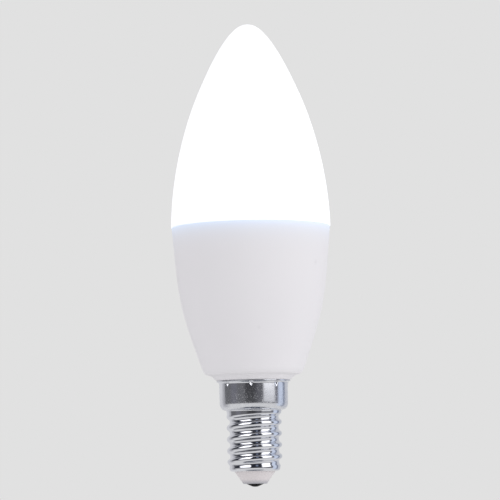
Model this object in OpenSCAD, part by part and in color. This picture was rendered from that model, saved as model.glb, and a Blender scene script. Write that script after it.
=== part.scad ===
// Candle bulb with a small screw cap, standing upright on its axis.
// Origin: the tip of the centre contact. +Z points to the nose of the diffuser. Millimetres.

/* [Envelope] */
// Greatest diameter, at the diffuser's rim
bulb_d = 39.5; // [36:0.5:44]
// Length from the contact's tip to the diffuser's nose
bulb_len = 115; // [105:1:130]
// Height of the seam between housing and diffuser
seam_h = 64.2; // [58:0.2:72]

/* [Diffuser] */
// Drop from the nose to the shoulder, where the crown takes over from the wall
shoulder_drop = 19; // [17:0.5:22]
// Diameter at the shoulder
shoulder_d = 26.55; // [24:0.05:29]
// Lean of the wall at the shoulder, from upright
shoulder_lean = 22.6; // [16:0.2:28]
// Radius of the small flat at the nose
nose_flat = 1.6; // [0.5:0.1:3]
// Depth of the plug that locates the diffuser in the housing
plug_h = 3; // [2:0.5:5]
// Wall left around the plug
plug_wall = 1.6; // [1.2:0.1:2.4]

/* [Housing] */
// Step by which the housing's rim lies inside the diffuser's
seam_step = 0.15; // [0:0.05:0.4]
// Diameter of the foot, above its rounded corner
foot_d = 25.2; // [23:0.2:28]
// Height at which the foot's corner starts
foot_h = 29.2; // [28.8:0.1:31]
// Length over which the side leaves the rim nearly straight
rim_pull = 19; // [12:1:22]
// Length over which the side holds the foot's taper
foot_pull = 15; // [8:1:18]
// Taper of the side at the foot, as radius over height
foot_taper = 0.35; // [0.25:0.05:0.45]

/* [Screw cap] */
// Outer diameter of the collar
collar_d = 17; // [16.6:0.1:17.4]
// Diameter of the flared lip
lip_d = 18.3; // [18.2:0.1:19.2]
// Height of the lip's upper face
lip_h = 26.1; // [25.9:0.1:26.5]
// Height of the collar's underside
step_h = 18.85; // [18.75:0.05:19.2]
// Thickness of the drawn sheet
sheet = 0.3; // [0.25:0.05:0.35]
// Number of staking marks round the collar
stake_count = 8; // [3:1:12]
// Turn of the first staking mark from the front, to the left
stake_turn = 6.5; // [0:0.5:45]

/* [Screw thread] */
// Diameter over the crests
crest_d = 13.66; // [13.6:0.02:13.9]
// Diameter at the roots
root_d = 12.08; // [12:0.02:12.3]
// Pitch of the right-hand thread, nine turns to the inch
pitch = 2.822; // [2.8:0.001:2.85]
// Height of the lowest crest on the right side
crest_z = 4.63; // [4.4:0.01:5.2]

/* [Insulator and contact] */
// Diameter of the cone where it leaves the cap
cone_d = 10.1; // [9.4:0.1:10.2]
// Diameter of the cone's end face
end_d = 6.1; // [5:0.1:6.6]
// Diameter of the contact's head
contact_d = 4.4; // [3.2:0.1:4.8]
// Height of the contact's head below the cone
contact_h = 0.72; // [0.5:0.02:0.9]

/* [Hidden] */
$fn = 96;

// Clearance between pieces that slip into each other, and how far a cut runs past a face
slip = 0.05;
over = 1;

// Diffuser and the side of the housing
rim_r = bulb_d / 2 - seam_step;
rim_lean = 0.08;
plug_d = 2 * (rim_r - plug_wall);
foot_r = foot_d / 2;
shoulder_z = bulb_len - shoulder_drop;
wall_h = shoulder_z - seam_h;
rim_tuck = 0.29;
rim_share = 0.49;
shoulder_share = 0.117;
crown_share = 0.994;
dome_steps = 26;
crown_steps = 24;
side_steps = 32;

// Foot of the housing: rounded corner, nearly flat underside, sweep down to the lip
corner_in = 1.3;
corner_drop = 1.6;
corner_lead = 0.9;
flat_lead = 0.45;
sweep_out = 1.1;
sweep_in = 0.6;
sweep_rise = 0.55;
lip_seat = 0.1;
corner_steps = 8;
underside_r = foot_r - corner_in;
underside_z = foot_h - corner_drop;

// Collar, lip and step of the cap
collar_r = collar_d / 2;
lip_r = lip_d / 2;
lip_edge = 0.05;
lip_flare = min(0.6, lip_r - collar_r - lip_edge);
flare_z = lip_h - sheet - lip_flare;
band_r = crest_d / 2 - 0.05;
band_round = 0.35;
band_z = 18.35;
underside_flat = 0.02;
step_round = min(1.35, collar_r - band_r - band_round - underside_flat);
step_rise = 1.65;

// Rolled thread and turned-in rim
thread_mid_r = (crest_d + root_d) / 4;
thread_amp = (crest_d - root_d) / 4;
quarter = pitch / 4;
roll_r = (quarter * quarter + thread_amp * thread_amp) / (2 * thread_amp);
rim_out_r = thread_mid_r - 0.15;
rim_round = 1;
rim_z = 3.76;
rim_top_z = 4.77;
hole_r = cone_d / 2 + slip;
thread_sides = 44;
thread_steps = 58;
run_in = 1.9;
run_lead = 0.4;
run_out = 1.3;
bite = 0.25;
nip = 0.05;

// Staking marks, punched just under the lip
stake_r = 0.52;
stake_tip_r = 0.15;
stake_depth = 0.5;
stake_drop = 0.45;
stake_z = flare_z - stake_drop;
front = 270;

// Neck of the housing inside the cap
neck_r = collar_r - sheet - slip;
neck_z = step_h + step_rise;
stem_gap = 0.2;
stem_r = root_d / 2 - sheet - stem_gap;
stem_z = 5.3;

// Insulator and contact pin
end_r = end_d / 2;
end_round = 0.3;
cone_lean = atan2(cone_d / 2 - end_r, rim_z - contact_h);
flange_r = stem_r;
flange_z = rim_z + sheet + slip;
flange_top_z = stem_z - slip;
head_r = contact_d / 2;
head_steps = 6;
land_r = 0.35;
pin_r = 0.9;
pin_top_z = 7;

// Point on the cubic curve through control points p, at t from 0 to 1
function cubic(p, t) =
    pow(1 - t, 3) * p[0] + 3 * pow(1 - t, 2) * t * p[1] + 3 * (1 - t) * t * t * p[2] + pow(t, 3) * p[3];

// The whole curve as points, start and end included
function curve(p, steps) = [for (i = [0:steps]) cubic(p, i / steps)];

// Part of an oval about c with half axes r, from angle a0 to a1, as points
function oval(c, r, a0, a1, steps = 10) =
    [for (i = [0:steps]) let (a = a0 + (a1 - a0) * i / steps) c + [r[0] * cos(a), r[1] * sin(a)]];

// Arc about c from angle a0 to a1, as points
function arc(c, r, a0, a1, steps = 10) = oval(c, [r, r], a0, a1, steps);

// Smooth change from 0 to 1 as u goes from 0 to 1
function soft(u) = let (v = min(max(u, 0), 1)) v * v * (3 - 2 * v);

// Wall of the dome from the rim to its shoulder, then the crown up to the nose
function dome_line() = let (
    shoulder = [shoulder_d / 2, shoulder_z],
    along = [-sin(shoulder_lean), cos(shoulder_lean)],
    crown = crown_share * shoulder_drop / cos(shoulder_lean)
) concat(
    curve([
        [bulb_d / 2, seam_h],
        [bulb_d / 2 - rim_tuck, seam_h + rim_share * wall_h],
        shoulder - shoulder_share * wall_h * along,
        shoulder
    ], dome_steps),
    [for (i = [1:crown_steps])
        cubic([shoulder, shoulder + crown * along, [nose_flat, bulb_len], [0, bulb_len]], i / crown_steps)]
);

// Outline of the side from the rim down to the foot
function side_line() = curve([
    [rim_r, seam_h],
    [rim_r - rim_lean * rim_pull, seam_h - rim_pull],
    [foot_r + foot_taper * foot_pull, foot_h + foot_pull],
    [foot_r, foot_h]
], side_steps);

// Rounded corner of the foot, from the side to the underside
function corner_line() = curve([
    [foot_r, foot_h],
    [foot_r - corner_lead * foot_taper, foot_h - corner_lead],
    [underside_r + flat_lead, underside_z],
    [underside_r, underside_z]
], corner_steps);

// Underside of the foot, which sweeps in and down to the lip
function underside_line() = curve([
    [underside_r, underside_z],
    [lip_r + sweep_out, underside_z],
    [lip_r + sweep_in, lip_h + sweep_rise],
    [lip_r - lip_seat, lip_h + slip]
], corner_steps);

// Opal dome, closed at the rim, with the plug that drops into the housing
module diffuser() {
    color("white") rotate_extrude() polygon(concat(
        [[0, seam_h - plug_h], [plug_d / 2, seam_h - plug_h], [plug_d / 2, seam_h]],
        dome_line()
    ));
}

// Moulded body: flared side, rounded foot, and the stepped neck that fills the cap
module housing() {
    color("gainsboro") difference() {
        rotate_extrude() polygon(concat(
            [[0, seam_h]],
            side_line(),
            corner_line(),
            underside_line(),
            [[neck_r, lip_h + slip], [neck_r, neck_z], [stem_r, neck_z], [stem_r, stem_z], [0, stem_z]]
        ));
        translate([0, 0, seam_h - plug_h - slip])
            cylinder(d = plug_d + 2 * slip, h = plug_h + over);
        translate([0, 0, stem_z - over])
            cylinder(r = pin_r + slip, h = over + pin_top_z - stem_z + slip);
        stakes(sheet + slip);
    }
}

// Conical punch marks round the collar, grown by g on every side
module stakes(g) {
    for (i = [0:stake_count - 1])
        rotate([0, 0, front - stake_turn + 360 * i / stake_count])
            translate([collar_r - stake_depth - g, 0, stake_z])
                rotate([0, 90, 0])
                    cylinder(r1 = stake_tip_r + g, r2 = stake_r + g, h = stake_depth + g);
}

// Section of the lip, collar and step, as one bent strip
module collar_section() {
    flare_c = [collar_r + lip_flare, flare_z];
    corner_c = [collar_r - step_round, step_h + step_rise];
    foot_c = [band_r + band_round, step_h - band_round];
    polygon(concat(
        arc(flare_c, lip_flare, 90, 180),
        oval(corner_c, [step_round, step_rise], 0, -90),
        arc(foot_c, band_round, 90, 180),
        [[band_r, band_z], [band_r - sheet, band_z]],
        arc(foot_c, band_round + sheet, 180, 90),
        oval(corner_c, [step_round - sheet, step_rise - sheet], -90, 0),
        arc(flare_c, lip_flare + sheet, 180, 90),
        [[lip_r, lip_h], [lip_r, lip_h - sheet]]
    ));
}

// Section of the rim that is turned in under the insulator
module rim_section() {
    c = [rim_out_r - rim_round, rim_z + rim_round];
    polygon(concat(
        [[rim_out_r - sheet, rim_top_z], [rim_out_r, rim_top_z]],
        arc(c, rim_round, 0, -90),
        [[hole_r, rim_z], [hole_r, rim_z + sheet]],
        arc(c, rim_round - sheet, -90, 0)
    ));
}

// Share of the full thread depth at height z: it runs out at both ends
function depth(z) = soft((z - rim_top_z + run_lead) / run_in) * soft((band_z - z) / run_out);

// Mean radius of the wall, from the rim to the plain band
function mean_r(z) =
    rim_out_r
    + (thread_mid_r - rim_out_r) * soft((z - rim_top_z) / run_in)
    + (band_r - thread_mid_r) * soft((z - band_z + run_out) / run_out);

// Section of the thread at distance s below or above a crest, from 1 at the crest to -1 at the root:
// two arcs of equal radius, which meet half-way
function swell(s) =
    s > quarter
        ? -swell(2 * quarter - s)
        : 1 - (roll_r - sqrt(roll_r * roll_r - s * s)) / thread_amp;

// Outer radius of the wall at angle a and height z
function wall_r(a, z) = let (
    turns = (z - crest_z) / pitch - a / 360,
    off = abs(turns - round(turns))
) mean_r(z) + thread_amp * depth(z) * swell(off * pitch);

// Rolled wall between the rim and the plain band. Its first and last rings are a little thinner,
// and stand inside those two.
module rolled_wall() {
    m = thread_sides;
    heights = concat(
        [rim_top_z - bite],
        [for (i = [0:thread_steps]) rim_top_z + (band_z - rim_top_z) * i / thread_steps],
        [band_z + bite]
    );
    n = len(heights);
    function is_end(i) = i <= 1 || i >= n - 2;
    function ring(i, out) = [
        for (j = [0:m - 1])
            let (a = 360 * j / m, g = is_end(i) ? nip : 0)
            let (r = is_end(i) ? (i <= 1 ? rim_out_r : band_r) : wall_r(a, heights[i]))
            let (w = out ? r - g : r - sheet + g)
            [w * cos(a), w * sin(a), heights[i]]
    ];
    points = concat(
        [for (i = [0:n - 1]) each ring(i, true)],
        [for (i = [0:n - 1]) each ring(i, false)]
    );
    function out_at(i, j) = i * m + j % m;
    function in_at(i, j) = (n + i) * m + j % m;
    polyhedron(points, concat(
        [for (i = [0:n - 2], j = [0:m - 1]) each [
            [out_at(i, j), out_at(i + 1, j), out_at(i + 1, j + 1)],
            [out_at(i, j), out_at(i + 1, j + 1), out_at(i, j + 1)],
            [in_at(i, j), in_at(i + 1, j + 1), in_at(i + 1, j)],
            [in_at(i, j), in_at(i, j + 1), in_at(i + 1, j + 1)]
        ]],
        [for (j = [0:m - 1]) each [
            [out_at(0, j), out_at(0, j + 1), in_at(0, j + 1)],
            [out_at(0, j), in_at(0, j + 1), in_at(0, j)],
            [out_at(n - 1, j), in_at(n - 1, j + 1), out_at(n - 1, j + 1)],
            [out_at(n - 1, j), in_at(n - 1, j), in_at(n - 1, j + 1)]
        ]]
    ));
}

// Plated cap drawn from one sheet: lip, staked collar, step, rolled thread and turned-in rim
module screw_shell() {
    color("silver") {
        difference() {
            union() {
                rotate_extrude() collar_section();
                intersection() {
                    stakes(sheet);
                    cylinder(r = collar_r - sheet / 2, h = lip_h);
                }
            }
            stakes(0);
        }
        rolled_wall();
        rotate_extrude() rim_section();
    }
}

// Moulded cone that carries the contact, held by its flange inside the turned-in rim
module insulator() {
    color("lightgray") difference() {
        rotate_extrude() polygon(concat(
            [[0, contact_h]],
            arc([end_r - end_round, contact_h + end_round], end_round, -90, -cone_lean),
            [
                [cone_d / 2, rim_z], [cone_d / 2, flange_z],
                [flange_r, flange_z], [flange_r, flange_top_z], [0, flange_top_z]
            ]
        ));
        translate([0, 0, contact_h - over]) cylinder(r = pin_r + slip, h = flange_top_z + over);
    }
}

// Low pointed head with a small flat land, on a pin through the insulator
module centre_contact() {
    color([0.08, 0.08, 0.09]) rotate_extrude() polygon(concat(
        curve([[land_r, 0], [2 * land_r, 0], [0.7 * head_r, 0.6 * contact_h], [head_r, contact_h]], head_steps),
        [[pin_r, contact_h], [pin_r, pin_top_z], [0, pin_top_z], [0, 0]]
    ));
}

diffuser();
housing();
screw_shell();
insulator();
centre_contact();
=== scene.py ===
"""Studio scene of a lit candle bulb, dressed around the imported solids.

The solids give the places and the outer sizes. Each visible piece here is turned or rolled at high
resolution on the same axis as the solid that it stands for, and gets a procedural finish on object
coordinates. Lengths are in metres, and outlines and the fields whose names end in _mm are in millimetres.
"""

import logging
import math
from dataclasses import dataclass
from enum import Enum
from typing import ClassVar

import bpy
import numpy as np
from mathutils import Matrix, Vector


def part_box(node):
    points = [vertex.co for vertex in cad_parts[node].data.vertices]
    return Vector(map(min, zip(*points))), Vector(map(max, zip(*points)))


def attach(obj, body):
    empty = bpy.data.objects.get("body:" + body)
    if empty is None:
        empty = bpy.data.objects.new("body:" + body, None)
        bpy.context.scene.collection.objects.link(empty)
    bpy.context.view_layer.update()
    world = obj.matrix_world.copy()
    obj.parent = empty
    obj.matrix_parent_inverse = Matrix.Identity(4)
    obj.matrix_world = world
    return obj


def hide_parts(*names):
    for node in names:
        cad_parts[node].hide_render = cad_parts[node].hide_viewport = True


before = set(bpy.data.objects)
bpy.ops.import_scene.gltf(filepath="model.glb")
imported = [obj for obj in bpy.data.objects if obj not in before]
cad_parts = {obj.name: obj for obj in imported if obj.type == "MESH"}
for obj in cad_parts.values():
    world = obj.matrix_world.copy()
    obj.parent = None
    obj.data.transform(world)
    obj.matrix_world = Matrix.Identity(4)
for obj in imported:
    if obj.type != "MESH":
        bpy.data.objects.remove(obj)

LOG = logging.getLogger("candle_bulb")
MM = 0.001
BODY = "root"

Point = tuple[float, float]
Colour = tuple[float, float, float, float]

BLACK: Colour = (0.0, 0.0, 0.0, 1.0)


class Piece(Enum):
    """The visible pieces: name of the piece, the solid it stands for, and its material slot."""

    DOME = ("opal_dome", "diffuser", "opal_diffuser")
    BODY = ("moulded_body", "housing", "white_housing")
    CAP = ("rolled_cap", "screw_shell", "nickel_cap")
    CONE = ("insulator_cone", "insulator", "insulator_cone")
    CONTACT = ("contact_head", "centre_contact", "dark_contact")

    @property
    def title(self) -> str:
        """Name of the piece."""
        return self.value[0]

    @property
    def node(self) -> str:
        """Name of the solid that the piece stands for."""
        return self.value[1]

    @property
    def slot(self) -> str:
        """Name of the material slot."""
        return self.value[2]


def soft(u: np.ndarray) -> np.ndarray:
    """Smooth change from 0 to 1 as u goes from 0 to 1."""
    v = np.clip(u, 0.0, 1.0)
    return v * v * (3.0 - 2.0 * v)


def cubic(p: list[Point], steps: int) -> list[Point]:
    """Points along a cubic curve.

    Args:
        p: The four control points.
        steps: How many stretches the curve is cut into.

    Returns:
        The points, start and end included.
    """
    line = []
    for i in range(steps + 1):
        t = i / steps
        w = ((1 - t) ** 3, 3 * (1 - t) ** 2 * t, 3 * (1 - t) * t * t, t ** 3)
        line.append(tuple(sum(w[k] * p[k][axis] for k in range(4)) for axis in (0, 1)))
    return line


def arc(centre: Point, radius: float, start: float, end: float, steps: int) -> list[Point]:
    """Points along an arc.

    Args:
        centre: Centre of the arc.
        radius: Radius of the arc.
        start: Angle of the first point, in degrees.
        end: Angle of the last point, in degrees.
        steps: How many stretches the arc is cut into.

    Returns:
        The points, start and end included.
    """
    turns = [math.radians(start + (end - start) * i / steps) for i in range(steps + 1)]
    return [(centre[0] + radius * math.cos(a), centre[1] + radius * math.sin(a)) for a in turns]


def rows(start: float, end: float, count: int) -> list[float]:
    """Evenly spaced values from start to end, both included."""
    return [start + (end - start) * i / count for i in range(count + 1)]


class Lathe:
    """Turns outlines into closed pieces about the bulb's axis."""

    WELD = 1e-7

    @staticmethod
    def turn(title: str, outline: list[Point], sides: int) -> bpy.types.Object:
        """Draws an outline point by point and spins it into a closed piece.

        Args:
            title: Name of the new piece.
            outline: Radius and height of each point, in millimetres, in order.
            sides: How many stretches one turn is cut into.

        Returns:
            The new object, at the origin, with its normals outwards.
        """
        bpy.ops.object.select_all(action="DESELECT")
        bpy.ops.mesh.primitive_plane_add(size=MM, location=(0.0, 0.0, 0.0))
        piece = bpy.context.active_object
        piece.name = title
        piece.data.name = title
        bpy.ops.object.mode_set(mode="EDIT")
        bpy.ops.mesh.select_all(action="SELECT")
        bpy.ops.mesh.merge(type="CENTER")
        bpy.ops.transform.translate(value=(outline[0][0] * MM, 0.0, outline[0][1] * MM))
        for here, there in zip(outline, outline[1:]):
            step = ((there[0] - here[0]) * MM, 0.0, (there[1] - here[1]) * MM)
            bpy.ops.mesh.extrude_region_move(TRANSFORM_OT_translate={"value": step})
        bpy.ops.mesh.select_all(action="SELECT")
        bpy.ops.mesh.spin(steps=sides, angle=math.tau, center=(0.0, 0.0, 0.0), axis=(0.0, 0.0, 1.0))
        bpy.ops.mesh.select_all(action="SELECT")
        bpy.ops.mesh.remove_doubles(threshold=Lathe.WELD)
        bpy.ops.mesh.normals_make_consistent(inside=False)
        bpy.ops.object.mode_set(mode="OBJECT")
        return piece

    @staticmethod
    def smooth(piece: bpy.types.Object, angle: float) -> None:
        """Shades a piece smooth, apart from the edges sharper than angle, in degrees."""
        bpy.ops.object.select_all(action="DESELECT")
        piece.select_set(True)
        bpy.context.view_layer.objects.active = piece
        bpy.ops.object.shade_smooth_by_angle(angle=math.radians(angle))


class Graph:
    """Short-hand for placing and joining shader nodes in one tree."""

    def __init__(self, tree: bpy.types.NodeTree) -> None:
        """Keeps the tree that the nodes go into."""
        self.tree = tree

    def add(self, kind: str, **settings: object) -> bpy.types.Node:
        """Places a node.

        Args:
            kind: Blender's name for the node's type.
            **settings: Properties to set on the node.

        Returns:
            The new node.
        """
        node = self.tree.nodes.new(kind)
        for name, value in settings.items():
            setattr(node, name, value)
        return node

    def join(self, source: bpy.types.NodeSocket, target: bpy.types.NodeSocket) -> None:
        """Links one socket to another."""
        self.tree.links.new(source, target)

    def feed(self, target: bpy.types.NodeSocket, value: object) -> None:
        """Links a socket to the target, or sets a plain value on it."""
        if isinstance(value, bpy.types.NodeSocket):
            self.join(value, target)
        else:
            target.default_value = value

    def math(self, operation: str, a: object, b: object = 0.0, clamp: bool = False) -> bpy.types.NodeSocket:
        """Combines two numbers.

        Args:
            operation: Name of the operation, such as ADD.
            a: First number or socket.
            b: Second number or socket.
            clamp: Whether the result is kept between 0 and 1.

        Returns:
            The result's socket.
        """
        node = self.add("ShaderNodeMath", operation=operation, use_clamp=clamp)
        self.feed(node.inputs[0], a)
        self.feed(node.inputs[1], b)
        return node.outputs[0]

    def blend(self, factor: object, a: object, b: object) -> bpy.types.NodeSocket:
        """Mixes two colours.

        Args:
            factor: Share of the second colour.
            a: First colour or socket.
            b: Second colour or socket.

        Returns:
            The mixed colour's socket.
        """
        node = self.add("ShaderNodeMix", data_type="RGBA")
        self.feed(node.inputs[0], factor)
        self.feed(node.inputs[6], a)
        self.feed(node.inputs[7], b)
        return node.outputs[2]

    def noise(self, place: object, scale: object, detail: float) -> bpy.types.NodeSocket:
        """Noise of the given scale at a place, as a number."""
        node = self.add("ShaderNodeTexNoise")
        self.feed(node.inputs["Vector"], place)
        self.feed(node.inputs["Scale"], scale)
        node.inputs["Detail"].default_value = detail
        return node.outputs[0]

    def group(self, shared: bpy.types.NodeTree, **values: object) -> bpy.types.Node:
        """Places a shared group and feeds its inputs.

        Args:
            shared: The group's tree.
            **values: A value or socket for each named input, with _ for each blank.

        Returns:
            The group's node.
        """
        node = self.add("ShaderNodeGroup", node_tree=shared)
        for name, value in values.items():
            self.feed(node.inputs[name.replace("_", " ")], value)
        return node


class SharedGroups:
    """Effects that the finishes and the studio use, each built once."""

    FINE_SHARE = 0.4
    BROAD_SHARE = 0.6

    @staticmethod
    def _start(title: str, inputs: dict[str, tuple[str, object]], outputs: dict[str, str]) -> Graph | None:
        """Starts a group with its sockets.

        Args:
            title: Name of the group.
            inputs: Socket type and default value of each named input.
            outputs: Socket type of each named output.

        Returns:
            A graph on the new tree, or None if the group is there already.
        """
        if title in bpy.data.node_groups:
            return None
        tree = bpy.data.node_groups.new(title, "ShaderNodeTree")
        for name, (kind, value) in inputs.items():
            socket = tree.interface.new_socket(name=name, in_out="INPUT", socket_type=kind)
            if value is not None:
                socket.default_value = value
        for name, kind in outputs.items():
            tree.interface.new_socket(name=name, in_out="OUTPUT", socket_type=kind)
        return Graph(tree)

    @staticmethod
    def grain() -> bpy.types.NodeTree:
        """Fine grain of moulded or plated skin: a mottle, and a height of pits over slow waves."""
        g = SharedGroups._start(
            "grain",
            {
                "Place": ("NodeSocketVector", None),
                "Fine": ("NodeSocketFloat", 4000.0),
                "Broad": ("NodeSocketFloat", 300.0),
            },
            {"Mottle": "NodeSocketFloat", "Height": "NodeSocketFloat"},
        )
        if g is None:
            return bpy.data.node_groups["grain"]
        entry = g.add("NodeGroupInput")
        leave = g.add("NodeGroupOutput")
        fine = g.noise(entry.outputs["Place"], entry.outputs["Fine"], detail=3.0)
        broad = g.noise(entry.outputs["Place"], entry.outputs["Broad"], detail=2.0)
        g.join(broad, leave.inputs["Mottle"])
        pits = g.math("MULTIPLY", fine, SharedGroups.FINE_SHARE)
        waves = g.math("MULTIPLY", broad, SharedGroups.BROAD_SHARE)
        g.join(g.math("ADD", pits, waves), leave.inputs["Height"])
        return g.tree

    @staticmethod
    def turning() -> bpy.types.NodeTree:
        """Fine rings left round the axis by forming tools, as a height, broken up along each ring."""
        g = SharedGroups._start(
            "turning",
            {
                "Place": ("NodeSocketVector", None),
                "Rings": ("NodeSocketFloat", 9000.0),
                "Break": ("NodeSocketFloat", 120.0),
            },
            {"Height": "NodeSocketFloat"},
        )
        if g is None:
            return bpy.data.node_groups["turning"]
        entry = g.add("NodeGroupInput")
        leave = g.add("NodeGroupOutput")
        split = g.add("ShaderNodeSeparateXYZ")
        g.join(entry.outputs["Place"], split.inputs[0])
        squeeze = g.add("ShaderNodeCombineXYZ")
        share = g.math("DIVIDE", entry.outputs["Break"], entry.outputs["Rings"])
        g.join(g.math("MULTIPLY", split.outputs["X"], share), squeeze.inputs["X"])
        g.join(g.math("MULTIPLY", split.outputs["Y"], share), squeeze.inputs["Y"])
        g.join(split.outputs["Z"], squeeze.inputs["Z"])
        g.join(g.noise(squeeze.outputs[0], entry.outputs["Rings"], detail=1.0), leave.inputs["Height"])
        return g.tree

    @staticmethod
    def rim_fade() -> bpy.types.NodeTree:
        """A mask that is 1 at one height and fades with the distance above or below it."""
        g = SharedGroups._start(
            "rim_fade",
            {
                "Place": ("NodeSocketVector", None),
                "Level": ("NodeSocketFloat", 0.0),
                "Reach": ("NodeSocketFloat", 0.001),
            },
            {"Mask": "NodeSocketFloat"},
        )
        if g is None:
            return bpy.data.node_groups["rim_fade"]
        entry = g.add("NodeGroupInput")
        leave = g.add("NodeGroupOutput")
        split = g.add("ShaderNodeSeparateXYZ")
        g.join(entry.outputs["Place"], split.inputs[0])
        gap = g.math("ABSOLUTE", g.math("SUBTRACT", split.outputs["Z"], entry.outputs["Level"]))
        decay = g.math("MULTIPLY", g.math("DIVIDE", gap, entry.outputs["Reach"]), -1.0)
        g.join(g.math("POWER", math.e, decay), leave.inputs["Mask"])
        return g.tree

    @staticmethod
    def window() -> bpy.types.NodeTree:
        """A mask that is 1 between two azimuths and two elevations, with soft edges."""
        limits = {"Left": -10.0, "Right": 10.0, "Low": -10.0, "High": 10.0, "Blur": 2.0}
        sockets = {name: ("NodeSocketFloat", value) for name, value in limits.items()}
        g = SharedGroups._start(
            "window",
            {"Turn": ("NodeSocketFloat", 0.0), "Tilt": ("NodeSocketFloat", 0.0), **sockets},
            {"Mask": "NodeSocketFloat"},
        )
        if g is None:
            return bpy.data.node_groups["window"]
        entry = g.add("NodeGroupInput")
        blur = entry.outputs["Blur"]
        mask = 1.0
        for angle, edge, sign in (("Turn", "Left", 1.0), ("Turn", "Right", -1.0), ("Tilt", "Low", 1.0),
                                  ("Tilt", "High", -1.0)):
            gap = g.math("MULTIPLY", g.math("SUBTRACT", entry.outputs[angle], entry.outputs[edge]), sign)
            share = g.math("ADD", g.math("DIVIDE", gap, g.math("MULTIPLY", blur, 2.0)), 0.5)
            side = g.add("ShaderNodeMapRange", interpolation_type="SMOOTHSTEP")
            g.join(share, side.inputs["Value"])
            mask = g.math("MULTIPLY", side.outputs[0], mask)
        g.join(mask, g.add("NodeGroupOutput").inputs["Mask"])
        return g.tree

    @staticmethod
    def speck() -> bpy.types.NodeTree:
        """A mask for one small round speck at a place on the surface."""
        g = SharedGroups._start(
            "speck",
            {
                "Place": ("NodeSocketVector", None),
                "Spot": ("NodeSocketVector", None),
                "Radius": ("NodeSocketFloat", 0.0003),
            },
            {"Mask": "NodeSocketFloat"},
        )
        if g is None:
            return bpy.data.node_groups["speck"]
        entry = g.add("NodeGroupInput")
        leave = g.add("NodeGroupOutput")
        gap = g.add("ShaderNodeVectorMath", operation="DISTANCE")
        g.join(entry.outputs["Place"], gap.inputs[0])
        g.join(entry.outputs["Spot"], gap.inputs[1])
        share = g.math("DIVIDE", gap.outputs["Value"], entry.outputs["Radius"])
        g.join(g.math("SUBTRACT", 1.0, share, clamp=True), leave.inputs["Mask"])
        return g.tree


def tone(red: int, green: int, blue: int) -> Colour:
    """A colour as it shows on a screen, from 0 to 255, as linear values.

    Args:
        red: Red as shown.
        green: Green as shown.
        blue: Blue as shown.

    Returns:
        The linear colour, with full alpha.
    """
    def linear(value: int) -> float:
        """One channel as a linear value."""
        v = value / 255.0
        return v / 12.92 if v <= 0.04045 else ((v + 0.055) / 1.055) ** 2.4

    return (linear(red), linear(green), linear(blue), 1.0)


@dataclass(frozen=True)
class Finish:
    """What every finish shares: a title, and the start of its node tree."""

    title: str

    def start(self) -> tuple[bpy.types.Material, Graph, bpy.types.Node, bpy.types.NodeSocket]:
        """Makes the material.

        Returns:
            The material, a graph on its tree, its Principled shader, and the object coordinates.
        """
        material = bpy.data.materials.new(self.title)
        material.use_nodes = True
        graph = Graph(material.node_tree)
        graph.tree.nodes.clear()
        shader = graph.add("ShaderNodeBsdfPrincipled")
        graph.join(shader.outputs[0], graph.add("ShaderNodeOutputMaterial").inputs[0])
        place = graph.add("ShaderNodeTexCoord").outputs["Object"]
        return material, graph, shader, place

    @staticmethod
    def emboss(graph: Graph, shader: bpy.types.Node, height: bpy.types.NodeSocket, depth_mm: float) -> None:
        """Raises the surface by a height.

        Args:
            graph: The material's graph.
            shader: Its Principled shader.
            height: Height from 0 to 1.
            depth_mm: Depth of a full height.
        """
        bump = graph.add("ShaderNodeBump")
        bump.inputs["Strength"].default_value = 1.0
        bump.inputs["Distance"].default_value = depth_mm * MM
        graph.join(height, bump.inputs["Height"])
        graph.join(bump.outputs[0], shader.inputs["Normal"])


@dataclass(frozen=True)
class OpalFinish(Finish):
    """Opal plastic, lit from inside."""

    skin: Colour = tone(226, 227, 230)
    cloud: Colour = tone(218, 220, 226)
    light: Colour = (1.0, 1.0, 1.0, 1.0)
    rim_light: Colour = (0.93, 0.96, 1.0, 1.0)
    strength: float = 0.42
    rim_level: float = 0.0642
    rim_reach_mm: float = 0.5
    roughness: float = 0.5
    specular: float = 0.1
    grain_mm: float = 0.004

    def build(self) -> bpy.types.Material:
        """Builds the material."""
        material, g, shader, place = self.start()
        grain = g.group(SharedGroups.grain(), Place=place, Fine=2600.0, Broad=90.0)
        rim = g.group(
            SharedGroups.rim_fade(), Place=place, Level=self.rim_level, Reach=self.rim_reach_mm * MM,
        )
        g.join(g.blend(grain.outputs["Mottle"], self.skin, self.cloud), shader.inputs["Base Color"])
        g.join(g.blend(rim.outputs["Mask"], self.light, self.rim_light), shader.inputs["Emission Color"])
        shader.inputs["Emission Strength"].default_value = self.strength
        shader.inputs["Roughness"].default_value = self.roughness
        shader.inputs["Specular IOR Level"].default_value = self.specular
        self.emboss(g, shader, grain.outputs["Height"], self.grain_mm)
        return material


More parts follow.
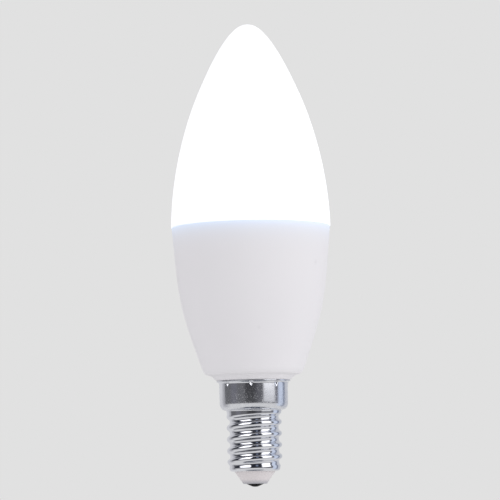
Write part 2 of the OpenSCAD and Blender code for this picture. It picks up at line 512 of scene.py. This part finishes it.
@dataclass(frozen=True)
class MouldedFinish(Finish):
    """Satin white moulding with painted light that makes the underside of its foot paler, light that leaks
    through its rim, and two small specks.
    """

    skin: Colour = tone(227, 225, 229)
    cloud: Colour = tone(226, 224, 228)
    leak: Colour = (0.06, 0.16, 0.30, 1.0)
    leak_level: float = 0.0642
    leak_reach_mm: float = 1.8
    # Painted light: a paler colour round the underside of the foot, which lifts the shade that falls there
    # under the foot.
    foot_painted_light: Colour = tone(239, 237, 240)
    foot_light_level: float = 0.02762
    foot_light_reach_mm: float = 0.15
    speck: Colour = tone(220, 218, 222)
    specks_mm: tuple[tuple[float, float, float, float], ...] = (
        (15.7, -10.28, 54.42, 0.85),
        (1.57, -15.64, 38.39, 0.55),
    )
    roughness: float = 0.55
    specular: float = 0.2
    grain_mm: float = 0.0015

    def build(self) -> bpy.types.Material:
        """Builds the material."""
        material, g, shader, place = self.start()
        grain = g.group(SharedGroups.grain(), Place=place, Fine=3200.0, Broad=140.0)
        foot = g.group(
            SharedGroups.rim_fade(), Place=place, Level=self.foot_light_level, Reach=self.foot_light_reach_mm * MM,
        )
        colour = g.blend(grain.outputs["Mottle"], self.skin, self.cloud)
        # Painted light: the paler foot colour is mixed in round the underside of the foot, against the shade
        # there.
        colour = g.blend(foot.outputs["Mask"], colour, self.foot_painted_light)
        for *spot, reach in self.specks_mm:
            mark = g.group(SharedGroups.speck(), Place=place, Radius=reach * MM)
            mark.inputs["Spot"].default_value = Vector(spot) * MM
            colour = g.blend(mark.outputs["Mask"], colour, self.speck)
        g.join(colour, shader.inputs["Base Color"])
        leak = g.group(
            SharedGroups.rim_fade(), Place=place, Level=self.leak_level, Reach=self.leak_reach_mm * MM,
        )
        g.join(g.blend(leak.outputs["Mask"], BLACK, self.leak), shader.inputs["Emission Color"])
        shader.inputs["Emission Strength"].default_value = 1.0
        shader.inputs["Roughness"].default_value = self.roughness
        shader.inputs["Specular IOR Level"].default_value = self.specular
        self.emboss(g, shader, grain.outputs["Height"], self.grain_mm)
        return material


@dataclass(frozen=True)
class NickelFinish(Finish):
    """Bright nickel plate over drawn sheet, with faint rings, a fine grain, and frost on the collar."""

    bright: Colour = tone(238, 239, 243)
    dull: Colour = tone(218, 219, 224)
    gloss: float = 0.03
    haze: float = 0.1
    collar_haze: float = 0.16
    collar_low: float = 0.0185
    collar_high: float = 0.026
    frost: float = 0.17
    frost_scale: float = 3600.0
    frost_floor: float = 0.55
    frost_gain: float = 6.0
    grain_share: float = 0.7
    rings_share: float = 0.5
    relief_mm: float = 0.003

    def build(self) -> bpy.types.Material:
        """Builds the material."""
        material, g, shader, place = self.start()
        grain = g.group(SharedGroups.grain(), Place=place, Fine=4200.0, Broad=700.0)
        rings = g.group(SharedGroups.turning(), Place=place, Rings=2600.0, Break=60.0)
        g.join(g.blend(grain.outputs["Mottle"], self.bright, self.dull), shader.inputs["Base Color"])
        shader.inputs["Metallic"].default_value = 1.0
        split = g.add("ShaderNodeSeparateXYZ")
        g.join(place, split.inputs[0])
        drop = g.math("DIVIDE", g.math("SUBTRACT", self.collar_high, split.outputs["Z"]),
                      self.collar_high - self.collar_low)
        collar = g.math("GREATER_THAN", split.outputs["Z"], self.collar_low)
        onto = g.math("MULTIPLY", collar, g.math("MAXIMUM", drop, 0.0))
        spread = g.math("MULTIPLY", grain.outputs["Mottle"], self.haze - self.gloss)
        spread = g.math("ADD", spread, g.math("MULTIPLY", onto, self.collar_haze))
        peaks = g.math("SUBTRACT", g.noise(place, self.frost_scale, detail=0.0), self.frost_floor)
        dots = g.math("MULTIPLY", peaks, self.frost_gain, clamp=True)
        spread = g.math("ADD", spread, g.math("MULTIPLY", g.math("MULTIPLY", collar, dots), self.frost))
        g.join(g.math("ADD", spread, self.gloss), shader.inputs["Roughness"])
        height = g.math("ADD", g.math("MULTIPLY", grain.outputs["Height"], self.grain_share),
                        g.math("MULTIPLY", rings.outputs["Height"], self.rings_share))
        self.emboss(g, shader, height, self.relief_mm)
        return material


@dataclass(frozen=True)
class ConeFinish(Finish):
    """Smooth moulded insulator, pale warm grey, with painted shade that darkens it towards its foot."""

    skin: Colour = tone(218, 212, 214)
    cloud: Colour = tone(215, 209, 211)
    # low is painted shade: a bluish grey laid on the cone's foot, where shade falls near the contact.
    low: Colour = tone(158, 159, 167)
    painted_shade_full_z: float = 0.0006
    painted_shade_end_z: float = 0.0018
    roughness: float = 0.42
    specular: float = 0.3
    grain_mm: float = 0.004

    def build(self) -> bpy.types.Material:
        """Builds the material."""
        material, g, shader, place = self.start()
        grain = g.group(SharedGroups.grain(), Place=place, Fine=5200.0, Broad=420.0)
        split = g.add("ShaderNodeSeparateXYZ")
        g.join(place, split.inputs[0])
        above = g.math("SUBTRACT", split.outputs["Z"], self.painted_shade_full_z)
        rise = g.math("DIVIDE", above, self.painted_shade_end_z - self.painted_shade_full_z, clamp=True)
        skin = g.blend(grain.outputs["Mottle"], self.skin, self.cloud)
        # Painted shade: the cone's colour goes from the painted grey at its foot up to its own skin.
        g.join(g.blend(rise, self.low, skin), shader.inputs["Base Color"])
        shader.inputs["Roughness"].default_value = self.roughness
        shader.inputs["Specular IOR Level"].default_value = self.specular
        self.emboss(g, shader, grain.outputs["Height"], self.grain_mm)
        return material


@dataclass(frozen=True)
class ContactFinish(Finish):
    """Metal contact painted near black, with faint turning rings: the near-black colour is a painted
    reflection of dark surroundings.
    """

    # Painted reflection: near-black paint that stands in for the dark surroundings which the metal contact
    # reflects.
    skin: Colour = tone(3, 3, 5)
    worn: Colour = tone(9, 9, 12)
    roughness: float = 0.25
    specular: float = 0.02
    rings_mm: float = 0.001

    def build(self) -> bpy.types.Material:
        """Builds the material."""
        material, g, shader, place = self.start()
        grain = g.group(SharedGroups.grain(), Place=place, Fine=9000.0, Broad=1500.0)
        rings = g.group(SharedGroups.turning(), Place=place, Rings=12000.0, Break=300.0)
        g.join(g.blend(grain.outputs["Mottle"], self.skin, self.worn), shader.inputs["Base Color"])
        shader.inputs["Roughness"].default_value = self.roughness
        shader.inputs["Specular IOR Level"].default_value = self.specular
        self.emboss(g, shader, rings.outputs["Height"], self.rings_mm)
        return material


def settle(piece: bpy.types.Object, kind: Piece, finish: bpy.types.Material) -> None:
    """Dresses a finished piece, ties it to its body and hides the solid that it stands for.

    Args:
        piece: The finished object.
        kind: Which piece it is.
        finish: Its material.
    """
    piece.data.materials.clear()
    piece.data.materials.append(finish)
    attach(piece, BODY)
    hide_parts(kind.node)
    LOG.info("%s: %d vertices, for %s", kind.title, len(piece.data.vertices), kind.node)


@dataclass
class Envelope:
    """The opal dome and the moulded body under it."""

    sides: int = 256
    crease_deg: float = 40.0
    shoulder_drop_mm: float = 19.0
    shoulder_r_mm: float = 13.275
    shoulder_lean_deg: float = 22.6
    rim_tuck_mm: float = 0.29
    rim_share: float = 0.49
    shoulder_share: float = 0.117
    crown_share: float = 0.994
    nose_flat_mm: float = 1.6
    nose_drop_mm: float = 0.1
    dome_steps: int = 40
    crown_steps: int = 36
    seam_round_mm: float = 0.12
    rim_lean: float = 0.08
    rim_pull_mm: float = 19.0
    foot_r_mm: float = 12.6
    foot_z_mm: float = 29.2
    foot_pull_mm: float = 15.0
    foot_taper: float = 0.35
    corner_lead_mm: float = 0.9
    underside_r_mm: float = 11.3
    underside_z_mm: float = 27.6
    flat_lead_mm: float = 0.45
    sweep_out_mm: float = 1.1
    sweep_in_mm: float = 0.6
    sweep_rise_mm: float = 0.55
    lip_seat_mm: float = 0.1
    neck_r_mm: float = 7.7
    neck_z_mm: float = 20.6
    side_steps: int = 64
    corner_steps: int = 14
    plug_r_mm: float = 18.0
    plug_h_mm: float = 2.9
    plug_room_mm: float = 0.1
    neck_gap_mm: float = 0.02
    seam_steps: int = 4

    def dome_outline(self) -> list[Point]:
        """Outline of the dome, from the plug's centre round the rim to the nose."""
        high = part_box(Piece.DOME.node)[1]
        radius, top = high[0] / MM, high[2] / MM
        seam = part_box(Piece.BODY.node)[1][2] / MM
        e = self.seam_round_mm
        lean = math.radians(self.shoulder_lean_deg)
        ahead = (-math.sin(lean), math.cos(lean))
        joint = (self.shoulder_r_mm, top - self.shoulder_drop_mm)
        rise = joint[1] - seam
        below = self.shoulder_share * rise
        above = self.crown_share * self.shoulder_drop_mm / ahead[1]
        tip = top - self.nose_drop_mm
        wall = cubic(
            [
                (radius, seam + e),
                (radius - self.rim_tuck_mm, seam + self.rim_share * rise),
                (joint[0] - below * ahead[0], joint[1] - below * ahead[1]),
                joint,
            ],
            self.dome_steps,
        )
        crown = cubic(
            [
                joint,
                (joint[0] + above * ahead[0], joint[1] + above * ahead[1]),
                (self.nose_flat_mm, tip),
                (0.0, tip),
            ],
            self.crown_steps,
        )
        plug_z = seam - self.plug_h_mm
        plug = [(0.0, plug_z), (self.plug_r_mm, plug_z), (self.plug_r_mm, seam)]
        return plug + arc((radius - e, seam + e), e, -90.0, 0.0, self.seam_steps) + wall[1:] + crown[1:]

    def body_outline(self) -> list[Point]:
        """Outline of the body, from the rim down the side, round the foot and down the neck."""
        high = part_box(Piece.BODY.node)[1]
        radius, seam = high[0] / MM, high[2] / MM
        lip_r, lip_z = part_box(Piece.CAP.node)[1][0] / MM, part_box(Piece.CAP.node)[1][2] / MM
        neck_top = lip_z + self.neck_gap_mm
        lead = self.corner_lead_mm
        e = self.seam_round_mm
        side = cubic(
            [
                (radius, seam - e),
                (radius - self.rim_lean * self.rim_pull_mm, seam - self.rim_pull_mm),
                (self.foot_r_mm + self.foot_taper * self.foot_pull_mm, self.foot_z_mm + self.foot_pull_mm),
                (self.foot_r_mm, self.foot_z_mm),
            ],
            self.side_steps,
        )
        corner = cubic(
            [
                (self.foot_r_mm, self.foot_z_mm),
                (self.foot_r_mm - lead * self.foot_taper, self.foot_z_mm - lead),
                (self.underside_r_mm + self.flat_lead_mm, self.underside_z_mm),
                (self.underside_r_mm, self.underside_z_mm),
            ],
            self.corner_steps,
        )
        sweep = cubic(
            [
                (self.underside_r_mm, self.underside_z_mm),
                (lip_r + self.sweep_out_mm, self.underside_z_mm),
                (lip_r + self.sweep_in_mm, lip_z + self.sweep_rise_mm),
                (lip_r - self.lip_seat_mm, neck_top),
            ],
            self.corner_steps,
        )
        recess_r = self.plug_r_mm + self.plug_room_mm
        recess_z = seam - self.plug_h_mm - self.plug_room_mm
        recess = [(0.0, recess_z), (recess_r, recess_z), (recess_r, seam)]
        edge = arc((radius - e, seam - e), e, 90.0, 0.0, self.seam_steps)
        neck = [(self.neck_r_mm, neck_top), (self.neck_r_mm, self.neck_z_mm), (0.0, self.neck_z_mm)]
        return recess + edge + side[1:] + corner[1:] + sweep[1:] + neck

    def build(self) -> None:
        """Turns both pieces and dresses them."""
        dome = Lathe.turn(Piece.DOME.title, self.dome_outline(), self.sides)
        Lathe.smooth(dome, self.crease_deg)
        settle(dome, Piece.DOME, OpalFinish("opal").build())
        body = Lathe.turn(Piece.BODY.title, self.body_outline(), self.sides)
        Lathe.smooth(body, self.crease_deg)
        settle(body, Piece.BODY, MouldedFinish("moulded_white").build())


@dataclass
class ScrewCap:
    """The plated cap: lip, staked collar, step, rolled thread and turned-in rim, as one closed sheet."""

    NEAR_MM: ClassVar[float] = 1e-4
    THIN_MM: ClassVar[float] = 1e-6

    sides: int = 384
    crease_deg: float = 50.0
    collar_r_mm: float = 8.5
    sheet_mm: float = 0.3
    flare_mm: float = 0.6
    edge_mm: float = 0.08
    step_z_mm: float = 18.85
    step_round_mm: float = 1.28
    step_rise_mm: float = 1.65
    waist_mm: float = 0.05
    band_r_mm: float = 6.78
    band_round_mm: float = 0.35
    band_z_mm: float = 18.35
    crest_r_mm: float = 6.83
    root_r_mm: float = 6.04
    pitch_mm: float = 2.822
    crest_z_mm: float = 4.63
    run_in_mm: float = 1.9
    run_lead_mm: float = 0.4
    run_out_mm: float = 1.3
    run_out_end: float = 0.4
    thread_rows: int = 112
    rim_inset_mm: float = 0.15
    rim_round_mm: float = 0.8
    rim_top_mm: float = 4.77
    hole_r_mm: float = 5.1
    back_gap_mm: float = 0.7
    back_r_mm: float = 5.6
    stake_count: int = 8
    stake_turn_deg: float = 4.0
    stake_half_mm: float = 0.62
    stake_tall_mm: float = 1.3
    stake_depth_mm: float = 0.37
    stake_top_mm: float = 25.5
    stake_margin_mm: float = 0.1
    stake_power: float = 1.3
    stake_rows: int = 16
    front_deg: float = 270.0
    back_drop_mm: float = 1.0
    edge_steps: int = 4
    flare_steps: int = 14
    collar_rows: int = 8
    corner_steps: int = 18
    foot_steps: int = 12
    band_rows: int = 6
    rim_steps: int = 12

    @property
    def mid_r_mm(self) -> float:
        """Radius half-way between crests and roots."""
        return (self.crest_r_mm + self.root_r_mm) / 2.0

    def outline(self) -> list[Point]:
        """Closed outline of the sheet: down the outer wall and up the inner one."""
        low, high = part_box(Piece.CAP.node)
        lip_r, lip_z, rim_z = high[0] / MM, high[2] / MM, low[2] / MM
        e = self.edge_mm
        flare_z = lip_z - self.sheet_mm - self.flare_mm
        edge = arc((lip_r - e, lip_z - e), e, 90.0, 0.0, self.edge_steps)
        edge += arc((lip_r - e, lip_z - self.sheet_mm + e), e, 0.0, -90.0, self.edge_steps)
        flare = arc((self.collar_r_mm + self.flare_mm, flare_z), self.flare_mm, 90.0, 180.0, self.flare_steps)
        stake_low = self.stake_top_mm - self.stake_tall_mm - self.stake_margin_mm
        upper = [(self.collar_r_mm, z) for z in rows(flare_z, stake_low, self.stake_rows)[1:]]
        corner_c = (self.collar_r_mm - self.step_round_mm, self.step_z_mm + self.step_rise_mm)
        lower = [(self.collar_r_mm, z) for z in rows(stake_low, corner_c[1], self.collar_rows)[1:-1]]
        stretch = self.step_rise_mm / self.step_round_mm
        corner = [(r, corner_c[1] + (z - corner_c[1]) * stretch)
                  for r, z in arc(corner_c, self.step_round_mm, 0.0, -90.0, self.corner_steps)]
        foot = arc((self.band_r_mm + self.band_round_mm, self.step_z_mm - self.band_round_mm),
                   self.band_round_mm, 90.0, 180.0, self.foot_steps)
        band = [(self.band_r_mm, z) for z in rows(foot[-1][1], self.band_z_mm, self.band_rows)[1:]]
        thread = [(self.mid_r_mm, z) for z in rows(self.band_z_mm, self.rim_top_mm, self.thread_rows)[1:]]
        rim_r = self.mid_r_mm - self.rim_inset_mm
        rim_c = (rim_r - self.rim_round_mm, rim_z + self.rim_round_mm)
        rim = [(rim_r, z) for z in rows(self.rim_top_mm, rim_c[1], 2)[1:-1]]
        rim += arc(rim_c, self.rim_round_mm, 0.0, -90.0, self.rim_steps)
        hole = arc((self.hole_r_mm + e, rim_z + e), e, 270.0, 180.0, self.edge_steps)
        hole += [(self.hole_r_mm, rim_z + self.sheet_mm)]
        back = [
            (self.back_r_mm, rim_z + self.back_gap_mm),
            (self.back_r_mm, self.step_z_mm + self.sheet_mm - self.back_drop_mm),
            (self.collar_r_mm - self.back_gap_mm, self.step_z_mm + 2.0 * self.sheet_mm),
            (self.collar_r_mm - self.back_gap_mm, flare_z),
            (self.collar_r_mm, lip_z),
        ]
        loop = edge + flare + upper + lower + corner + foot[1:] + band + thread + rim + hole + back
        return loop + loop[:1]

    def wall_radius(self, angle: np.ndarray, z: np.ndarray) -> np.ndarray:
        """Outer radius of the rolled wall.

        Args:
            angle: Angle about the axis, in radians.
            z: Height, in millimetres.

        Returns:
            The radius at each place, in millimetres.
        """
        rim_r = self.mid_r_mm - self.rim_inset_mm
        mean = rim_r + (self.mid_r_mm - rim_r) * soft((z - self.rim_top_mm) / self.run_in_mm)
        share = np.clip((z - self.band_z_mm + self.run_out_mm) / self.run_out_mm, 0.0, 1.0)
        flare = soft(share) + self.run_out_end * (share ** 3 - share ** 2)
        mean = mean + (self.band_r_mm - self.mid_r_mm) * flare
        depth = soft((z - self.rim_top_mm + self.run_lead_mm) / self.run_in_mm)
        depth = depth * soft((self.band_z_mm - z) / self.run_out_mm)
        swing = (self.crest_r_mm - self.root_r_mm) / 2.0
        quarter = self.pitch_mm / 4.0
        roll_r = (quarter ** 2 + swing ** 2) / (2.0 * swing)
        turns = (z - self.crest_z_mm) / self.pitch_mm - angle / math.tau
        off = np.abs(turns - np.round(turns)) * self.pitch_mm
        near = np.minimum(off, 2.0 * quarter - off)
        swell = swing - (roll_r - np.sqrt(roll_r ** 2 - near ** 2))
        return mean + depth * np.where(off > quarter, -swell, swell)

    def dent(self, angle: np.ndarray, z: np.ndarray) -> np.ndarray:
        """Depth of the staking marks: three-sided dents that point down.

        Args:
            angle: Angle about the axis, in radians.
            z: Height, in millimetres.

        Returns:
            The depth at each place, in millimetres.
        """
        between = math.tau / self.stake_count
        first = math.radians(self.front_deg - self.stake_turn_deg)
        off = np.abs((angle - first + between / 2.0) % between - between / 2.0) * self.collar_r_mm
        share = np.clip((z - self.stake_top_mm + self.stake_tall_mm) / self.stake_tall_mm, 0.0, 1.0)
        half = np.maximum(self.stake_half_mm * share, self.THIN_MM)
        return self.stake_depth_mm * share * np.clip(1.0 - off / half, 0.0, 1.0) ** self.stake_power

    def roll(self, piece: bpy.types.Object) -> None:
        """Rolls the thread into the wall, punches the staking marks and draws in the collar's waist."""
        mesh = piece.data
        flat = np.empty(len(mesh.vertices) * 3)
        mesh.vertices.foreach_get("co", flat)
        place = flat.reshape(-1, 3) / MM
        angle = np.arctan2(place[:, 1], place[:, 0])
        radius = np.hypot(place[:, 0], place[:, 1])
        z = place[:, 2]
        wall = (z >= self.rim_top_mm - self.NEAR_MM) & (z <= self.band_z_mm + self.NEAR_MM)
        wall = wall & (radius > self.root_r_mm)
        new_radius = np.where(wall, self.wall_radius(angle, z), radius)
        lip_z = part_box(Piece.CAP.node)[1][2] / MM
        sheet_low = lip_z - self.sheet_mm - self.edge_mm
        collar_low = self.step_z_mm + self.step_rise_mm
        collar = (z > collar_low) & (z < sheet_low) & (radius > self.collar_r_mm - self.stake_margin_mm)
        new_radius = new_radius - np.where(collar, self.dent(angle, z), 0.0)
        flare_z = lip_z - self.sheet_mm - self.flare_mm
        drop = (flare_z - z) / (flare_z - collar_low)
        lean = np.where(drop > 1.0, 2.0 * drop - 1.0, np.maximum(drop, 0.0) ** 2)
        outer = z > self.step_z_mm - self.NEAR_MM
        outer = outer & (radius > self.band_r_mm + self.band_round_mm - self.NEAR_MM)
        new_radius = new_radius - np.where(outer, lean * self.waist_mm, 0.0)
        place[:, 0] = new_radius * np.cos(angle)
        place[:, 1] = new_radius * np.sin(angle)
        mesh.vertices.foreach_set("co", (place * MM).ravel())
        mesh.update()

    def build(self) -> None:
        """Turns, rolls and dresses the cap."""
        cap = Lathe.turn(Piece.CAP.title, self.outline(), self.sides)
        self.roll(cap)
        Lathe.smooth(cap, self.crease_deg)
        settle(cap, Piece.CAP, NickelFinish("nickel_plate").build())


@dataclass
class Tip:
    """The insulator cone and the contact's head under the cap."""

    sides: int = 160
    crease_deg: float = 40.0
    cone_r_mm: float = 5.05
    end_r_mm: float = 3.05
    end_round_mm: float = 0.3
    rim_z_mm: float = 3.76
    hidden_mm: float = 1.2
    land_r_mm: float = 0.35
    head_r_mm: float = 2.2
    head_pull: float = 0.7
    head_lift: float = 0.6
    pin_r_mm: float = 0.9
    pin_mm: float = 0.5
    side_steps: int = 8
    bowl_steps: int = 16

    def cone_outline(self) -> list[Point]:
        """Outline of the cone, from its end face up to the part inside the cap."""
        end_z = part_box(Piece.CONE.node)[0][2] / MM
        lean = math.degrees(math.atan2(self.cone_r_mm - self.end_r_mm, self.rim_z_mm - end_z))
        round_c = (self.end_r_mm - self.end_round_mm, end_z + self.end_round_mm)
        edge = arc(round_c, self.end_round_mm, -90.0, -lean, self.side_steps)
        side = list(zip(
            rows(edge[-1][0], self.cone_r_mm, self.side_steps),
            rows(edge[-1][1], self.rim_z_mm, self.side_steps),
        ))
        top_z = self.rim_z_mm + self.hidden_mm
        return [(0.0, end_z)] + edge + side[1:] + [(self.cone_r_mm, top_z), (0.0, top_z)]

    def head_outline(self) -> list[Point]:
        """Outline of the contact's head, from its tip to the pin."""
        end_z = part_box(Piece.CONE.node)[0][2] / MM
        bowl = cubic(
            [
                (self.land_r_mm, 0.0),
                (2.0 * self.land_r_mm, 0.0),
                (self.head_pull * self.head_r_mm, self.head_lift * end_z),
                (self.head_r_mm, end_z),
            ],
            self.bowl_steps,
        )
        pin_z = end_z + self.pin_mm
        return [(0.0, 0.0)] + bowl + [(self.pin_r_mm, end_z), (self.pin_r_mm, pin_z), (0.0, pin_z)]

    def build(self) -> None:
        """Turns both pieces and dresses them."""
        cone = Lathe.turn(Piece.CONE.title, self.cone_outline(), self.sides)
        Lathe.smooth(cone, self.crease_deg)
        settle(cone, Piece.CONE, ConeFinish("cone_grey").build())
        head = Lathe.turn(Piece.CONTACT.title, self.head_outline(), self.sides)
        Lathe.smooth(head, self.crease_deg)
        settle(head, Piece.CONTACT, ContactFinish("dark_contact").build())


@dataclass(frozen=True)
class Patch:
    """A soft-edged field of the studio, as polished surfaces see it.

    Azimuth 0 is the camera's side and 90 the right one; elevation 90 is straight up. All in degrees.
    """

    azimuth: Point
    elevation: Point
    glow: Colour
    blur: float

    def paint(self, g: Graph, turn: bpy.types.NodeSocket, tilt: bpy.types.NodeSocket,
              below: bpy.types.NodeSocket) -> bpy.types.NodeSocket:
        """Lays the patch over what is there.

        Args:
            g: The world's graph.
            turn: Azimuth of the ray.
            tilt: Elevation of the ray.
            below: Colour without the patch.

        Returns:
            Colour with the patch.
        """
        field = g.group(
            SharedGroups.window(), Turn=turn, Tilt=tilt, Blur=self.blur, Left=self.azimuth[0],
            Right=self.azimuth[1], Low=self.elevation[0], High=self.elevation[1],
        )
        return g.blend(field.outputs["Mask"], below, self.glow)


@dataclass(frozen=True)
class SideLight:
    """A plain square lamp that lights matt surfaces only."""

    title: str
    place: tuple[float, float, float]
    size: float
    power: float
    target: tuple[float, float, float] = (0.0, 0.0, 0.05)

    def build(self) -> None:
        """Places the lamp, turned to the bulb."""
        data = bpy.data.lights.new(self.title, "AREA")
        data.shape = "SQUARE"
        data.size = self.size
        data.energy = self.power
        lamp = bpy.data.objects.new(self.title, data)
        bpy.context.scene.collection.objects.link(lamp)
        lamp.location = self.place
        way = Vector(self.target) - Vector(self.place)
        lamp.rotation_euler = way.to_track_quat("-Z", "Y").to_euler()
        lamp.visible_camera = False
        lamp.visible_glossy = False


@dataclass
class Studio:
    """Floor, world, lamps and camera."""

    backdrop: Colour = tone(225, 225, 225)
    ambient: float = 0.8
    floor_z: float = -0.05
    floor_size: float = 6.0
    floor_paint: Colour = tone(249, 249, 249)
    camera_distance: float = 0.75
    camera_height: float = -0.005
    aim: tuple[float, float, float] = (-0.00028, 0.0, 0.05852)
    roll_deg: float = -1.02
    sensor: float = 36.0
    frame_width: float = 0.12396
    clip_start: float = 0.01
    clip_end: float = 20.0
    patches: tuple[Patch, ...] = (
        Patch((-180.0, -107.0), (-30.0, 75.0), tone(218, 218, 221), 14.0),
        Patch((-128.0, -104.0), (-30.0, 75.0), tone(180, 180, 184), 10.0),
        Patch((122.0, 160.0), (-30.0, 60.0), tone(204, 206, 212), 9.0),
        Patch((-112.0, 122.0), (-8.0, 91.0), (0.022, 0.025, 0.036, 1.0), 3.5),
        Patch((-112.0, -20.0), (-8.0, 14.0), (0.155, 0.155, 0.165, 1.0), 4.0),
        Patch((-82.0, -58.0), (-8.0, 14.0), (0.18, 0.18, 0.205, 1.0), 6.0),
        Patch((-30.0, 8.0), (-8.0, 14.0), (0.065, 0.065, 0.07, 1.0), 8.0),
        Patch((8.0, 90.0), (-8.0, 14.0), (0.14, 0.14, 0.155, 1.0), 10.0),
        Patch((74.0, 92.0), (-8.0, 14.0), (0.20, 0.20, 0.225, 1.0), 4.0),
        Patch((33.0, 76.0), (0.0, 30.0), (1.2, 1.21, 1.24, 1.0), 4.5),
        Patch((37.0, 79.0), (20.0, 66.0), (2.2, 2.2, 2.22, 1.0), 7.0),
        Patch((-76.0, -22.0), (21.0, 66.0), (2.2, 2.2, 2.25, 1.0), 6.0),
        Patch((4.0, 15.0), (30.0, 60.0), (0.22, 0.26, 0.36, 1.0), 4.0),
        Patch((90.0, 117.0), (-30.0, 60.0), (0.67, 0.74, 0.88, 1.0), 4.0),
        Patch((116.0, 129.0), (-30.0, 60.0), (0.27, 0.30, 0.38, 1.0), 4.0),
        Patch((-200.0, 200.0), (-100.0, -68.0), (0.02, 0.035, 0.07, 1.0), 4.0),
    )
    lights: tuple[SideLight, ...] = (
        SideLight("right_light", (1.1, -0.55, 0.25), 0.9, 5.0),
        SideLight("left_light", (-1.1, -0.6, 0.4), 0.8, 1.6),
    )

    def build_world(self) -> None:
        """A pale surround for the camera, plain light for matt surfaces, the studio for polished ones."""
        world = bpy.data.worlds.new("surround")
        bpy.context.scene.world = world
        world.use_nodes = True
        g = Graph(world.node_tree)
        g.tree.nodes.clear()
        way = g.add("ShaderNodeSeparateXYZ")
        g.join(g.add("ShaderNodeTexCoord").outputs["Generated"], way.inputs[0])
        ahead = g.math("MULTIPLY", way.outputs["Y"], -1.0)
        turn = g.math("DEGREES", g.math("ARCTAN2", way.outputs["X"], ahead))
        tilt = g.math("DEGREES", g.math("ARCSINE", way.outputs["Z"]))
        shine = self.backdrop
        for patch in self.patches:
            shine = patch.paint(g, turn, tilt, shine)
        path = g.add("ShaderNodeLightPath")
        light = (self.ambient, self.ambient, self.ambient, 1.0)
        seen = g.math("ADD", path.outputs["Is Camera Ray"], path.outputs["Is Transmission Ray"], clamp=True)
        colour = g.blend(seen, light, self.backdrop)
        back = g.add("ShaderNodeBackground")
        g.join(g.blend(path.outputs["Is Glossy Ray"], colour, shine), back.inputs["Color"])
        back.inputs["Strength"].default_value = 1.0
        g.join(back.outputs[0], g.add("ShaderNodeOutputWorld").inputs[0])

    def build_floor(self) -> None:
        """A plain pale floor under the bulb, which can't be seen from below."""
        bpy.ops.object.select_all(action="DESELECT")
        bpy.ops.mesh.primitive_plane_add(size=self.floor_size, location=(0.0, 0.0, self.floor_z))
        floor = bpy.context.active_object
        floor.name = "floor"
        material = bpy.data.materials.new("floor")
        material.use_nodes = True
        g = Graph(material.node_tree)
        g.tree.nodes.clear()
        paint = g.add("ShaderNodeBsdfDiffuse")
        paint.inputs["Color"].default_value = self.floor_paint
        clear = g.add("ShaderNodeBsdfTransparent")
        mix = g.add("ShaderNodeMixShader")
        g.join(g.add("ShaderNodeNewGeometry").outputs["Backfacing"], mix.inputs[0])
        g.join(paint.outputs[0], mix.inputs[1])
        g.join(clear.outputs[0], mix.inputs[2])
        g.join(mix.outputs[0], g.add("ShaderNodeOutputMaterial").inputs[0])
        floor.data.materials.append(material)
        floor.visible_glossy = False

    def build_camera(self) -> None:
        """A long lens in front of the bulb, a little below its middle, looking slightly up."""
        lens = bpy.data.cameras.new("camera")
        camera = bpy.data.objects.new("camera", lens)
        bpy.context.scene.collection.objects.link(camera)
        aim = Vector(self.aim)
        camera.location = Vector((aim.x, -self.camera_distance, self.camera_height))
        look = aim - camera.location
        roll = Matrix.Rotation(math.radians(self.roll_deg), 3, "Z")
        camera.rotation_euler = (look.to_track_quat("-Z", "Y").to_matrix() @ roll).to_euler()
        lens.sensor_width = self.sensor
        lens.lens = self.sensor * look.length / self.frame_width
        lens.clip_start = self.clip_start
        lens.clip_end = self.clip_end
        bpy.context.scene.camera = camera

    def build(self) -> None:
        """Builds the whole studio."""
        self.build_world()
        self.build_floor()
        for light in self.lights:
            light.build()
        self.build_camera()
        bpy.context.scene.view_settings.view_transform = "Standard"
        LOG.info("studio: %d patches, %d lamps, camera at %.3f m", len(self.patches), len(self.lights),
                 self.camera_distance)


def main() -> None:
    """Builds the pieces and the studio."""
    logging.basicConfig(level=logging.INFO, format="%(name)s %(message)s")
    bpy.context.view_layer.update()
    Envelope().build()
    ScrewCap().build()
    Tip().build()
    Studio().build()


if __name__ == "__main__":
    main()
